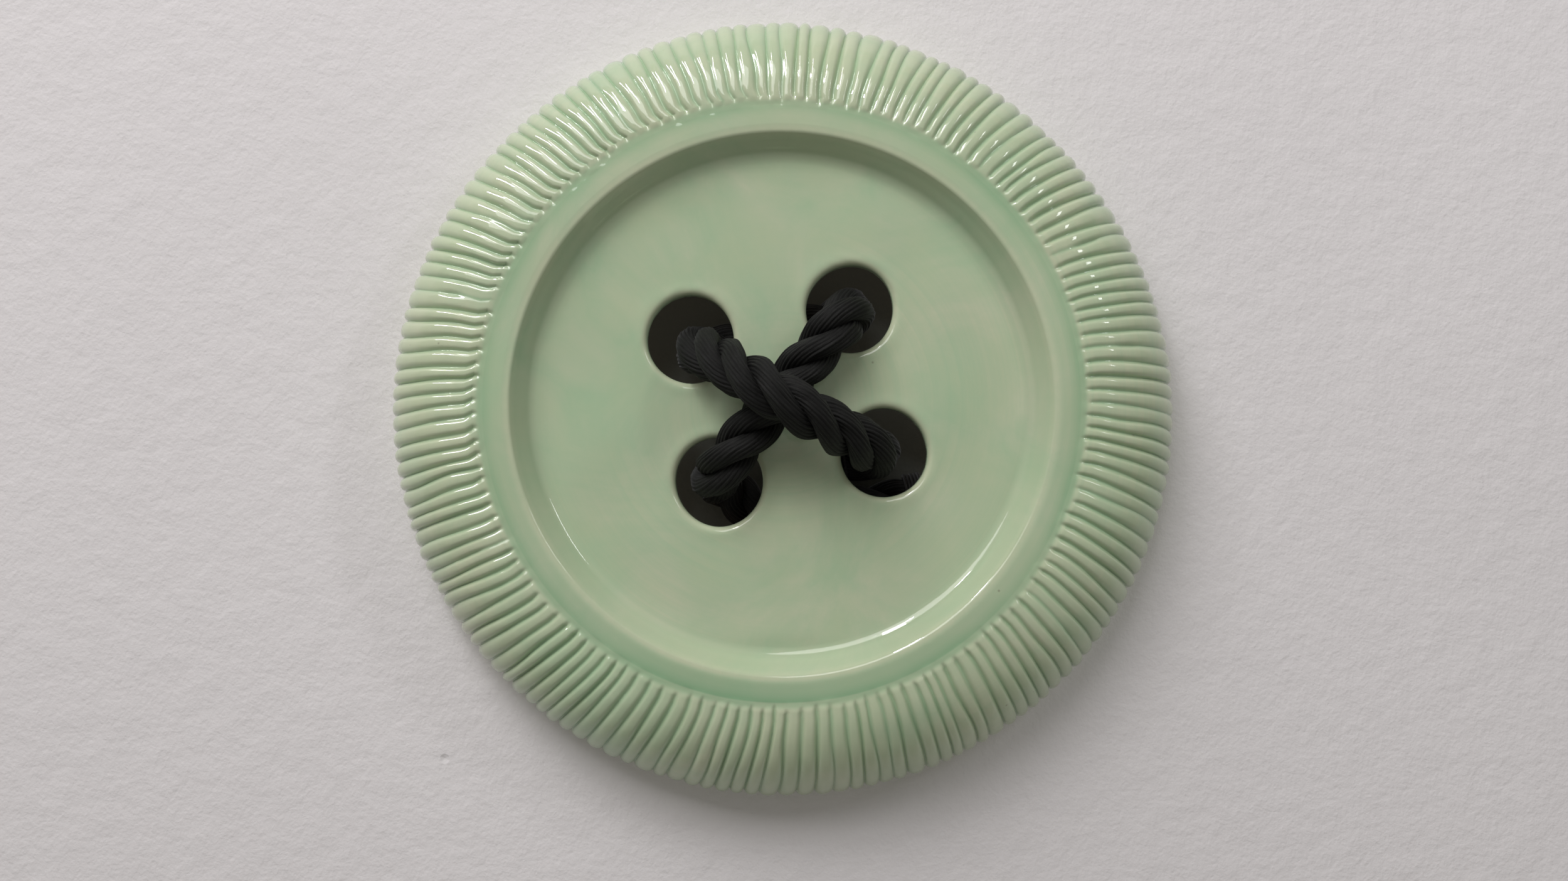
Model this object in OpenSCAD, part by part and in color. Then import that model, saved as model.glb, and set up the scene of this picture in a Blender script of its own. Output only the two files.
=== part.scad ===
// Giant sewing button for a wall: a glazed ceramic dish with four holes and a rope stitched in an X.
// Upright on the wall: front faces -Y, +X to the right, +Z up. The origin is the centre of the disc
// on the wall plane y = 0. Inside the modules, a point is (across, up, out), where out is the distance
// from the wall, and upright() turns it into place.

/* [Disc] */
// Overall diameter of the disc
disc_d = 320; // [320:0.5:322]
// Height of the rim above the wall, at the inner edge of the grooved ring
rim_h = 44; // [43.8:0.1:44.2]
// Radius of the inner edge of the grooved ring
ring_r = 119; // [118.5:0.5:119.5]
// Rounding of the back edge
back_edge_r = 4.5; // [3:0.5:5]

/* [Dish] */
// Radius of the crest round the dish
crest_r = 107.4; // [107:0.2:108]
// Height of the crest above the wall
crest_h = 43.2; // [43:0.1:43.6]
// Rounding of the crest
crest_round = 3; // [2:0.5:3]
// Radius of the flat floor of the dish
floor_r = 98; // [96:1:99]
// Height of the floor above the wall
floor_h = 33; // [32:0.5:34]
// Thickness of the floor
floor_t = 8; // [7:0.5:9]

/* [Foot ring] */
// Inner radius of the foot ring that lies on the wall
foot_r = 148; // [147:0.5:150]

/* [Holes] */
// Bore radius of the four holes
hole_r = 17.4; // [17:0.1:18]
// Rounding of the lip of each hole, front and back
lip_r = 2.2; // [1.5:0.1:2.5]

/* [Grooves] */
// Number of grooves cut across the rim
groove_n = 152; // [140:1:160]
// Radius of the round gouge that cuts them
groove_r = 1.3; // [1:0.1:1.4]
// Depth of the gouge below the rim
groove_depth = 1; // [0.6:0.1:1]

/* [Rope] */
// Radius at which the strands lie round the middle of the rope
lay_r = 5.45; // [5.4:0.05:5.5]
// Diameter of one strand
strand_d = 8.3; // [7.8:0.1:8.5]
// Length of rope in which a strand goes round once
lay_pitch = 51; // [48:1:56]
// Diameter of the whipping and seizing twine
twine_d = 1.4; // [1:0.1:1.5]

/* [Hanger] */
// Distance from the middle to each wire loop
loop_x = 60; // [58:1:62]
// Height of the loops above the middle of the disc
loop_z = 75; // [74:1:76]
// Distance of the loops' bars from the wall
loop_h = 12; // [11.5:0.5:13]
// Diameter of the wire of the loops
loop_wire_d = 2.5; // [2:0.5:2.5]
// Diameter of the picture wire
wire_d = 2; // [1.6:0.2:2]
// Rise of the picture wire from loop to middle, in degrees
wire_rise = 17; // [14:1:18]

/* [Hidden] */

celadon = [0.66, 0.77, 0.62];
rope_black = [0.11, 0.12, 0.12];
steel = [0.62, 0.62, 0.6];
over = 1; // how far a cutter runs past what it cuts

disc_r = disc_d / 2;

// Centres of the holes, across and up: upper left, upper right, lower right, lower left
HOLES = [[-36.2, 25.5], [27.1, 37.6], [40.4, -19.6], [-24.8, -31.1]];

// Underside of the disc, as [radius, out]: the floor's back, then the hollow under the rim
BACK = [[104, floor_h - floor_t], [108, 33], [120, 36], [135, 33], [146, 24], [150, 12], [foot_r, 0]];

// Middle of the rope, as [across, up, out]: one end behind the disc, out at the lower left hole,
// across to the upper right hole, behind to the upper left, over to the lower right, and back
ROUTE = [
    [58, -37.6, 12.5], [49, -39.1, 12.5], [40, -40.5, 12.5], [30, -42.2, 12.5], [20, -43.8, 12.5],
    [9, -45.4, 12.5], [1.5, -45.8, 12.5], [-5.5, -44.5, 12.5], [-12, -41.7, 12.5], [-17.6, -37.7, 12.5],
    [-22.1, -33.6, 14.1], [-25.3, -30.6, 18.5], [-26.5, -29.5, 24.5], [-26.5, -29.5, 29.2],
    [-25.7, -28.5, 35.1], [-23.3, -25.6, 39.9], [-19.9, -21.4, 42.7], [-15, -15.5, 43.2],
    [-7, -5.5, 43.2], [1, 4.2, 43.2], [9, 14, 43.2], [17.3, 24.2, 43.2], [20.8, 28.5, 42.7],
    [24.2, 32.7, 39.9], [26.6, 35.6, 35.1], [27.4, 36.6, 29.2], [27.4, 36.6, 24.5], [25.8, 36.2, 18.5],
    [21.6, 35.1, 14.1], [15.8, 33.7, 12.5], [6, 31.2, 12.5], [-3, 29, 12.5], [-12, 26.8, 12.5],
    [-21.6, 24.4, 12.5], [-27.4, 23, 14.1], [-31.6, 21.9, 18.5], [-33.2, 21.5, 24.5],
    [-33.2, 21.5, 29.2], [-31.9, 20.7, 36], [-28.6, 18.5, 42.3], [-22.2, 14.4, 49.9],
    [-14.3, 9, 57.3], [-7.3, 4.2, 61.6], [-1, 0.2, 62.9], [6.8, -4, 61.6], [15.5, -8.6, 57.3],
    [25, -13.4, 49.9], [32.6, -17.2, 42.3], [36.5, -19.3, 36], [37.9, -20, 29.2], [37.9, -20, 24.5],
    [36.3, -20.2, 18.5], [32, -20.6, 14.1], [26.1, -21.2, 12.5], [17, -22.5, 12.5], [10, -23.6, 12.5],
    [3, -24.7, 12.5]
];
ROUTE_STEPS = 3; // rings between two points of the route
STRAND_SIDES = 8;

// Lapped ends of the rope: their slope, and the middles of their bindings as [across, up, out]
LAP_SLOPE = 9.2;
WHIPPING_1 = [54.5, -38.2, 12.5];
WHIPPING_2 = [6.5, -24.1, 12.5];
SEIZING = [20, -32.9, 12.5];
whipping_n = 5; // turns of twine in a whipping
seizing_w = 16; // width of the seizing
lap_gap = 21.4; // distance between the middles of the lapped ends
bind_clear = 0.1; // gap between twine and rope

// Turns (across, up, out) into the upright frame
module upright() rotate([90, 0, 0]) children();

// Points of an arc, from angle a0 to a1 about c, with radii rx and ry
function arc(c, rx, ry, a0, a1, n) =
    [for (i = [0:n]) let (a = a0 + (a1 - a0) * i / n) [c[0] + rx * cos(a), c[1] + ry * sin(a)]];

// Section of the disc, as [radius, out], with no holes
rim_round = rim_h - back_edge_r;
RIM_MIDDLE = [disc_r - rim_round, back_edge_r];

floor_fillet = 3; // from the wall of the dish to its floor
module disc_section() difference() {
    union() {
        intersection() {
            translate(RIM_MIDDLE) circle(r = rim_round, $fn = 128);
            translate(RIM_MIDDLE) square(rim_round + over);
        }
        translate([disc_r - back_edge_r, back_edge_r]) circle(r = back_edge_r, $fn = 48);
        square([disc_r - back_edge_r, back_edge_r]);
        polygon(concat(
            [[0, 0], [RIM_MIDDLE[0], 0], [RIM_MIDDLE[0], rim_h]],
            [[ring_r, rim_h], [116.5, rim_h - 0.8], [114, rim_h - 1.2], [111, rim_h - 1]],
            arc([crest_r, crest_h - crest_round], crest_round, crest_round, 80, 160, 5),
            arc([floor_r, floor_h + floor_fillet], floor_fillet, floor_fillet, -20, -90, 4),
            [[0, floor_h]]
        ));
    }
    polygon(concat([[0, -over], [0, floor_h - floor_t]], BACK, [[foot_r, -over]]));
}

// Cutter for one hole: a straight bore with a rounded lip at each end
module hole_cutter() {
    translate([0, 0, floor_h - floor_t - over]) cylinder(h = floor_t + 2 * over, r = hole_r, $fn = 96);
    rotate_extrude($fn = 96) difference() {
        translate([0, floor_h - lip_r]) square([hole_r + lip_r, lip_r + over]);
        translate([hole_r + lip_r, floor_h - lip_r]) circle(r = lip_r, $fn = 32);
    }
    rotate_extrude($fn = 96) difference() {
        translate([0, floor_h - floor_t - over]) square([hole_r + lip_r, lip_r + over]);
        translate([hole_r + lip_r, floor_h - floor_t + lip_r]) circle(r = lip_r, $fn = 32);
    }
}

// Cutter for one groove: a round gouge that follows the rim from behind its widest place to the ring's
// inner edge
gouge_path_r = rim_round - groove_depth + groove_r;
gouge_from = -8;
gouge_to = 92;

module groove_cutter() translate([RIM_MIDDLE[0], 0, RIM_MIDDLE[1]]) rotate([90, 0, 0])
    rotate([0, 0, gouge_from]) rotate_extrude(angle = gouge_to - gouge_from, $fn = 64)
        translate([gouge_path_r, 0]) circle(r = groove_r, $fn = 24);

module glazed_disc() color(celadon) upright() difference() {
    rotate_extrude($fn = 180) disc_section();
    for (c = HOLES) translate([c[0], c[1], 0]) hole_cutter();
    for (i = [0:groove_n - 1]) rotate([0, 0, 360 * (i + 0.5) / groove_n]) groove_cutter();
    for (s = [-1, 1])
        loop_leg_at(s, loop_wire_d / 2 + socket_clear, floor_h - floor_t + loop_set + socket_clear);
}

// Smooth curve through the route: Catmull-Rom point at parameter f between p[i] and p[i + 1]
function near(p, i) = p[max(0, min(len(p) - 1, i))];
function curve_at(p, i, f) =
    let (a = near(p, i - 1), b = near(p, i), c = near(p, i + 1), d = near(p, i + 2))
    0.5 * (2 * b + f * (c - a) + f * f * (2 * a - 5 * b + 4 * c - d) + f * f * f * (3 * (b - c) + d - a));
function curve(p, steps) =
    concat([for (i = [0:len(p) - 2], k = [0:steps - 1]) curve_at(p, i, k / steps)], [p[len(p) - 1]]);

// Distance along a line of points, up to each point
function lengths(p) = [for (i = 0, s = 0; i < len(p); s = s + norm(near(p, i + 1) - p[i]), i = i + 1) s];

function unit(v) = v / norm(v);
function along(p, i) = unit(near(p, i + 1) - near(p, i - 1));
// A side direction for each point, carried along the line without twist
function square_to(v, t) = unit(v - (v * t) * t);
function sides(p, first) =
    [for (i = 0, v = square_to(first, along(p, 0)); i < len(p);
        i = i + 1, v = i < len(p) ? square_to(v, along(p, i)) : v) v];

MIDDLE = curve(ROUTE, ROUTE_STEPS);
MIDDLE_AT = lengths(MIDDLE);
MIDDLE_SIDE = sides(MIDDLE, [0, 0, 1]);

// Middle of strand k at point i of the rope's middle
function strand_point(i, k) =
    let (t = along(MIDDLE, i), u = MIDDLE_SIDE[i], v = cross(t, u),
        a = 360 * (MIDDLE_AT[i] / lay_pitch + k / 3))
    MIDDLE[i] + lay_r * (cos(a) * u + sin(a) * v);

// A closed tube of diameter d along the points p
module tube(p, d, n, first) {
    s = sides(p, first);
    points = [for (i = [0:len(p) - 1], j = [0:n - 1])
        let (t = along(p, i), a = 360 * j / n) p[i] + d / 2 * (cos(a) * s[i] + sin(a) * cross(t, s[i]))];
    rings = len(p);
    faces = concat(
        [[for (j = [0:n - 1]) j]],
        [for (i = [0:rings - 2], j = [0:n - 1])
            [i * n + j, (i + 1) * n + j, (i + 1) * n + (j + 1) % n, i * n + (j + 1) % n]],
        [[for (j = [n - 1:-1:0]) (rings - 1) * n + j]]
    );
    polyhedron(points, faces, convexity = 10);
}

module rope_strand(k) color(rope_black) upright()
    tube([for (i = [0:len(MIDDLE) - 1]) strand_point(i, k)], strand_d, STRAND_SIDES, [0, 0, 1]);

module rope_strand_1() rope_strand(0);
module rope_strand_2() rope_strand(1);
module rope_strand_3() rope_strand(2);

rope_d = 2 * lay_r + strand_d;
bind_r = rope_d / 2 + bind_clear;

// Twine wound side by side round one rope end, with its middle at p
module whipping(p) color(rope_black) upright()
    translate(p) rotate([0, 90, LAP_SLOPE]) rotate_extrude($fn = 64) union() {
        for (i = [0:whipping_n - 1])
            translate([bind_r + twine_d / 2, (i - (whipping_n - 1) / 2) * twine_d])
                circle(d = twine_d, $fn = 24);
        translate([bind_r, -whipping_n * twine_d / 2 + twine_d / 4])
            square([twine_d / 2, (whipping_n - 0.5) * twine_d]);
    }

module rope_end_whipping_1() whipping(WHIPPING_1);
module rope_end_whipping_2() whipping(WHIPPING_2);

// Outline round two rope ends side by side, r from the middle of each
module lap_outline(r) {
    square([2 * r, lap_gap], center = true);
    for (s = [-1, 1]) translate([0, s * lap_gap / 2]) circle(r = r, $fn = 96);
}

module rope_seizing() color(rope_black) upright()
    translate(SEIZING) rotate([0, 0, LAP_SLOPE]) rotate([0, 90, 0])
        linear_extrude(height = seizing_w, center = true) difference() {
            lap_outline(bind_r + twine_d);
            lap_outline(bind_r);
        }

// Wire loop set in the clay: two legs and a bar, with its middle on the bar
loop_half = 5.5; // half the distance between the legs' middles
loop_bend = 2.5; // bend from leg to bar
loop_set = 5; // depth of the legs in the floor of the dish
socket_clear = 0.05; // gap between leg and clay

module loop_leg_at(s, r, h) translate([s * loop_x, 0, 0])
    for (e = [-1, 1]) translate([0, loop_z + e * loop_half, 0]) cylinder(r = r, h = h, $fn = 32);

module hanger_loop(s) color(steel) upright() {
    leg_from = loop_h + loop_bend;
    leg_to = floor_h - floor_t + loop_set;
    translate([0, 0, leg_from]) loop_leg_at(s, loop_wire_d / 2, leg_to - leg_from);
    translate([s * loop_x, loop_z, loop_h]) rotate([90, 0, 0])
        cylinder(d = loop_wire_d, h = 2 * (loop_half - loop_bend), center = true, $fn = 32);
    for (e = [-1, 1])
        translate([s * loop_x, loop_z + e * (loop_half - loop_bend), leg_from])
            rotate([0, 90, 0]) rotate([0, 0, e > 0 ? 0 : -90])
                rotate_extrude(angle = 90, $fn = 48)
                    translate([loop_bend, 0]) circle(d = loop_wire_d, $fn = 32);
}

module hanger_loop_left() hanger_loop(-1);
module hanger_loop_right() hanger_loop(1);

// Picture wire: one length, with an eye round each loop's bar, closed by a sleeve, and a bend in the
// middle. Each half is drawn with the leg along +X from the bar, as [along, 0, out of the bar's plane].
eye_r = 4.5; // middle of the wire round the eye
eye_shift = 1.2; // from the bar to the middle of the eye, along the leg
wire_gap = wire_d + 0.1; // between the wire and its tail in the sleeve
sleeve_from = 11; // from the bar to where the eye closes
sleeve_l = 8;
sleeve_wall = 0.8;
wire_tail = 3; // wire that shows past the sleeve
apex_r = 8; // bend over the hook
leg_l = loop_x / cos(wire_rise) - apex_r * tan(wire_rise);
apex_z = loop_z + loop_x * tan(wire_rise) - apex_r / cos(wire_rise);
eye_reach = [sleeve_from - eye_shift, wire_gap / 2];
eye_open = acos(eye_r / norm(eye_reach)) + atan2(eye_reach[1], eye_reach[0]); // half the eye's gap
EYE_POINTS = 14;

// A point of a half, in its place on side s (-1 left, 1 right)
function on_leg(s, p) = [
    s * (loop_x - p[0] * cos(wire_rise)), loop_z + p[0] * sin(wire_rise), loop_h + p[1]
];

HALF_WIRE = concat(
    [[sleeve_from + sleeve_l + wire_tail, -wire_gap], [sleeve_from, -wire_gap]],
    arc([eye_shift, -wire_gap / 2], eye_r, eye_r, 360 - eye_open, eye_open, EYE_POINTS),
    [[sleeve_from, 0], [leg_l, 0]]
);
half_n = len(HALF_WIRE);
bend_half = 0.75 * wire_rise; // half of the bend's arc, short of where the legs meet it
WIRE_PATH = concat(
    [for (p = HALF_WIRE) on_leg(-1, p)],
    [for (p = arc([0, apex_z], apex_r, apex_r, 90 + bend_half, 90 - bend_half, 4)) [p[0], p[1], loop_h]],
    [for (i = [half_n - 1:-1:0]) on_leg(1, HALF_WIRE[i])]
);

module picture_wire() color(steel) upright() tube(WIRE_PATH, wire_d, 8, [0, 1, 0]);

// Outline round the two wires in a sleeve, r from the middle of each
module sleeve_outline(r) {
    translate([0, -r]) square([wire_gap, 2 * r]);
    for (x = [0, wire_gap]) translate([x, 0]) circle(r = r, $fn = 48);
}

module crimp_sleeve(s) color(steel) upright()
    translate([s * loop_x, loop_z, loop_h]) rotate([0, 0, 90 + s * (90 - wire_rise)])
        translate([sleeve_from + 0.5, 0, 0]) rotate([0, 90, 0])
            linear_extrude(height = sleeve_l) difference() {
                sleeve_outline(wire_d / 2 + sleeve_wall);
                sleeve_outline(wire_d / 2 + socket_clear);
            }

module crimp_sleeve_left() crimp_sleeve(-1);
module crimp_sleeve_right() crimp_sleeve(1);

glazed_disc();
rope_strand_1();
rope_strand_2();
rope_strand_3();
rope_end_whipping_1();
rope_end_whipping_2();
rope_seizing();
hanger_loop_left();
hanger_loop_right();
picture_wire();
crimp_sleeve_left();
crimp_sleeve_right();
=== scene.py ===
"""Looks of a giant ceramic sewing button on a wall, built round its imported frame.

Shapes are worked out in millimetres as (across, up, out), with out measured from the wall towards the
viewer, and world() turns them into the frame's metres. Angles round the disc run clockwise from +X as
the viewer sees it.
"""
import math

import bmesh
import bpy
import numpy as np
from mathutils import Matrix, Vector, geometry

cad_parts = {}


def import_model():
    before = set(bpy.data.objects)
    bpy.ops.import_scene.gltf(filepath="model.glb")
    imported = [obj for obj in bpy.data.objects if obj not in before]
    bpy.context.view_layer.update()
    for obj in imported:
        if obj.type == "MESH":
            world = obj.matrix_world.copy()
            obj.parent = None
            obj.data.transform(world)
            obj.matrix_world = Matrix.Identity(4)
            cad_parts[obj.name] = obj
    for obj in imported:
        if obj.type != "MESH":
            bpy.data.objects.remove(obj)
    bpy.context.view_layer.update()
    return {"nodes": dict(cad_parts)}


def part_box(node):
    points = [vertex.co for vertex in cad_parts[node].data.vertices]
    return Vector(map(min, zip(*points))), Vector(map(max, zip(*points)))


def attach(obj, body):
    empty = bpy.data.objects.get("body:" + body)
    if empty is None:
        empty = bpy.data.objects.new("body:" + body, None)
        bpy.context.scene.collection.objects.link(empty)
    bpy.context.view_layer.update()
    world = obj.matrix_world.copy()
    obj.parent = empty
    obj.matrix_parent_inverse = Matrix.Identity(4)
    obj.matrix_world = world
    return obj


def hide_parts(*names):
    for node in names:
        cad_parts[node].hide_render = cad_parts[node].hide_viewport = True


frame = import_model()
MM = 0.001
BUTTON = "button"
HANGER = "hanger_wire"

# --- Sizes of the disc, in millimetres, as the CAD part has them ---
disc_low, disc_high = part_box("glazed_disc")
DISC_R = (disc_high.x - disc_low.x) / 2 / MM
RIM_H = -disc_low.y / MM
BACK_EDGE_R = 4.5
RIM_ROUND = RIM_H - BACK_EDGE_R
RIM_MIDDLE = (DISC_R - RIM_ROUND, BACK_EDGE_R)
RING_R = 119.0
CREST_R, CREST_H, CREST_ROUND = 107.2, 43.3, 2.0
FILLET = 6.0  # from the wall of the dish to its floor
FLOOR_H, FLOOR_T = 33.0, 8.0
FLOOR_EDGE_R, BACK_FLOOR_R = 95.7, 101.0  # where the floor is flat, in front and behind
FOOT_R = 148.0
# Under the rim, as (radius, out), from the foot ring to the back of the floor
HOLLOW = [
    (150.0, 12.0), (146.0, 24.0), (135.0, 33.0), (120.0, 36.0), (108.0, 33.0), (104.0, FLOOR_H - FLOOR_T),
]
HOLES = [(-36.2, 25.5), (27.1, 37.6), (40.4, -19.6), (-24.8, -31.1)]
HOLE_R, LIP_R = 17.4, 2.4

# --- Sizes of the rope and its route, as the CAD part has them ---
LAY_R, STRAND_R, LAY_PITCH = 5.3, 4.6, 51.0
TWINE_D = 1.4
ROUTE = [
    (58, -37.6, 12.5), (49, -39.1, 12.5), (40, -40.5, 12.5), (30, -42.2, 12.5), (20, -43.8, 12.5),
    (9, -45.4, 12.5), (1.5, -45.8, 12.5), (-5.5, -44.5, 12.5), (-12, -41.7, 12.5), (-17.6, -37.7, 12.5),
    (-22.1, -33.6, 14.1), (-25.3, -30.6, 18.5), (-26.5, -29.5, 24.5), (-26.5, -29.5, 29.2),
    (-25.7, -28.5, 35.1), (-23.3, -25.6, 39.9), (-19.9, -21.4, 42.7), (-15, -15.5, 43.2),
    (-7, -5.5, 43.2), (1, 4.2, 43.2), (9, 14, 43.2), (17.3, 24.2, 43.2), (20.8, 28.5, 42.7),
    (24.2, 32.7, 39.9), (26.6, 35.6, 35.1), (27.4, 36.6, 29.2), (27.4, 36.6, 24.5), (25.8, 36.2, 18.5),
    (21.6, 35.1, 14.1), (15.8, 33.7, 12.5), (6, 31.2, 12.5), (-3, 29, 12.5), (-12, 26.8, 12.5),
    (-21.6, 24.4, 12.5), (-27.4, 23, 14.1), (-31.6, 21.9, 18.5), (-33.2, 21.5, 24.5),
    (-33.2, 21.5, 29.2), (-31.9, 20.7, 36), (-28.6, 18.5, 42.3), (-22.2, 14.4, 49.9),
    (-14.3, 9, 57.3), (-7.3, 4.2, 61.6), (-1, 0.2, 62.9), (6.8, -4, 61.6), (15.5, -8.6, 57.3),
    (25, -13.4, 49.9), (32.6, -17.2, 42.3), (36.5, -19.3, 36), (37.9, -20, 29.2), (37.9, -20, 24.5),
    (36.3, -20.2, 18.5), (32, -20.6, 14.1), (26.1, -21.2, 12.5), (17, -22.5, 12.5), (10, -23.6, 12.5),
    (3, -24.7, 12.5),
]


def world(points):
    """(across, up, out) in millimetres to the frame's metres."""
    p = np.asarray(points, float)
    return np.stack([p[..., 0], -p[..., 2], p[..., 1]], axis=-1) * MM


def smooth(low, high, x):
    """0 below low, 1 above high, and a smooth step between."""
    t = np.clip((np.asarray(x, float) - low) / (high - low), 0, 1)
    return t * t * (3 - 2 * t)


def bump(middle, half_width, x):
    """1 at middle, falling smoothly to about 0 a few half widths away."""
    return np.exp(-((np.asarray(x, float) - middle) / half_width) ** 2)


def ripples(points, wavelength, seed, count=24):
    """Smooth noise of about unit height at points of any dimension: waves in random directions."""
    rng = np.random.default_rng(seed)
    points = np.asarray(points, float)
    total = np.zeros(points.shape[:-1])
    for _ in range(count):
        direction = rng.normal(size=points.shape[-1])
        direction *= 2 * math.pi / (wavelength * rng.uniform(0.6, 1.6) * np.linalg.norm(direction))
        total += np.sin(points @ direction + rng.uniform(0, 2 * math.pi))
    return total * math.sqrt(2 / count)


# --- Camera, lights and wall ---
CAMERA_BACK, CAMERA_DOWN = 0.568, 0.0385
AIM_RIGHT, AIM_DOWN = 0.0009, 0.0133
VIEW_ANGLE = math.radians(60.07)


def add_camera():
    """A camera below the middle of the disc that looks a little up at it."""
    data = bpy.data.cameras.new("camera")
    camera = bpy.data.objects.new("camera", data)
    bpy.context.collection.objects.link(camera)
    camera.location = (0, -CAMERA_BACK, -CAMERA_DOWN)
    aim = Vector((AIM_RIGHT, 0, -AIM_DOWN)) - camera.location
    camera.rotation_euler = aim.to_track_quat("-Z", "Y").to_euler()
    data.angle = VIEW_ANGLE
    bpy.context.scene.camera = camera


def add_area_light(name, place, size, power, colour=(1.0, 1.0, 1.0), aim=(0, 0, 0)):
    """A rectangular lamp that faces a place, with its first side level."""
    data = bpy.data.lights.new(name, "AREA")
    data.shape = "RECTANGLE"
    data.size, data.size_y = size
    data.energy = power
    data.color = colour
    light = bpy.data.objects.new(name, data)
    bpy.context.collection.objects.link(light)
    light.location = place
    light.rotation_euler = (Vector(aim) - Vector(place)).to_track_quat("-Z", "Y").to_euler()
    return light


COOL_WHITE = (1.0, 0.975, 0.975)
CEILING = (-0.64, -0.95, 1.4)
UNDER_CEILING = (0, -0.95, 0)


def add_lights():
    """A broad key from the upper left, a ceiling lamp, a small fill, and two lamps behind the wall."""
    add_area_light("key_light", (-0.66, -1.34, 1.26), (1.5, 1.0), 22.5, COOL_WHITE)
    add_area_light("ceiling_tubes", CEILING, (1.15, 0.1), 9, COOL_WHITE, UNDER_CEILING)
    add_area_light("second_light", (0.75, -0.75, 0.55), (0.1, 0.35), 1.4, (0.98, 0.99, 1.0))
    add_area_light("back_light_left", (-0.9, 0.8, 0.7), (0.8, 0.8), 6.5)
    add_area_light("back_light_right", (0.7, 1.0, 0.25), (0.8, 0.8), 4.5)
    background = bpy.data.worlds.new("studio")
    background.use_nodes = True
    node = background.node_tree.nodes["Background"]
    node.inputs["Color"].default_value = (1.0, 0.96, 0.88, 1)
    node.inputs["Strength"].default_value = 0.25
    bpy.context.scene.world = background
    bpy.context.scene.view_settings.view_transform = "Standard"


def add_glints(glazed):
    """The long tubes that the wet-looking glaze mirrors, kept off everything else."""
    lit = bpy.data.collections.new("glazed")
    lit.objects.link(glazed)
    above = add_area_light("glint_above", CEILING, (1.15, 0.12), 36, aim=UNDER_CEILING)
    beside = add_area_light("glint_beside", (-1.3, -0.54, 1.28), (0.9, 0.12), 25)
    for light in (above, beside):
        light.visible_diffuse = False
        light.light_linking.receiver_collection = lit


# --- Node helpers ---
class Nodes:
    """Short hands for building one material's node tree."""

    def __init__(self, name):
        self.material = bpy.data.materials.new(name)
        self.material.use_nodes = True
        self.tree = self.material.node_tree
        self.shader = self.tree.nodes["Principled BSDF"]
        self.output = self.tree.nodes["Material Output"]

    def add(self, kind, **values):
        node = self.tree.nodes.new(kind)
        for key, value in values.items():
            setattr(node, key, value)
        return node

    def link(self, source, target):
        self.tree.links.new(source, target)

    def place(self):
        return self.add("ShaderNodeTexCoord").outputs["Object"]

    def mark(self, name):
        return self.add("ShaderNodeAttribute", attribute_name=name).outputs["Fac"]

    def scaled(self, vector, x, y, z):
        node = self.add("ShaderNodeMapping")
        self.link(vector, node.inputs["Vector"])
        node.inputs["Scale"].default_value = (x, y, z)
        return node.outputs["Vector"]

    def length(self, vector):
        node = self.add("ShaderNodeVectorMath", operation="LENGTH")
        self.link(vector, node.inputs[0])
        return node.outputs["Value"]

    def noise(self, vector, scale, detail=2.0, roughness=0.5, distortion=0.0):
        node = self.add("ShaderNodeTexNoise")
        self.link(vector, node.inputs["Vector"])
        node.inputs["Scale"].default_value = scale
        node.inputs["Detail"].default_value = detail
        node.inputs["Roughness"].default_value = roughness
        node.inputs["Distortion"].default_value = distortion
        return node.outputs["Fac"]

    def ranged(self, value, low, high, to_low=0.0, to_high=1.0):
        node = self.add("ShaderNodeMapRange")
        self.link(value, node.inputs["Value"])
        for key, number in (("From Min", low), ("From Max", high), ("To Min", to_low), ("To Max", to_high)):
            node.inputs[key].default_value = number
        return node.outputs["Result"]

    def math(self, operation, a, b=None):
        node = self.add("ShaderNodeMath", operation=operation)
        for socket, value in zip(node.inputs, (a, b)):
            if isinstance(value, (int, float)):
                socket.default_value = value
            elif value is not None:
                self.link(value, socket)
        return node.outputs["Value"]

    def mix(self, factor, a, b):
        """Mixes two colours, given as tuples or sockets."""
        node = self.add("ShaderNodeMix", data_type="RGBA")
        self.link(factor, node.inputs["Factor"])
        for socket, value in ((node.inputs["A"], a), (node.inputs["B"], b)):
            if isinstance(value, tuple):
                socket.default_value = (*value, 1)
            else:
                self.link(value, socket)
        return node.outputs["Result"]

    def bump(self, height, distance, strength=1.0, under=None):
        node = self.add("ShaderNodeBump")
        self.link(height, node.inputs["Height"])
        node.inputs["Distance"].default_value = distance
        node.inputs["Strength"].default_value = strength
        if under is not None:
            self.link(under, node.inputs["Normal"])
        return node.outputs["Normal"]

    def set(self, **values):
        for key, value in values.items():
            socket = self.shader.inputs[key.replace("_", " ")]
            if isinstance(value, (int, float, tuple)):
                socket.default_value = value
            else:
                self.link(value, socket)


# Painted shade: the patch of wall that the disc covers is painted dark, as light reaches it only through the
# holes
PAINTED_WALL_SHADE = (0.075, 0.085, 0.078)
PAINTED_SHADE_EDGE = (0.135, 0.145)  # radii between which it turns into the open wall


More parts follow.
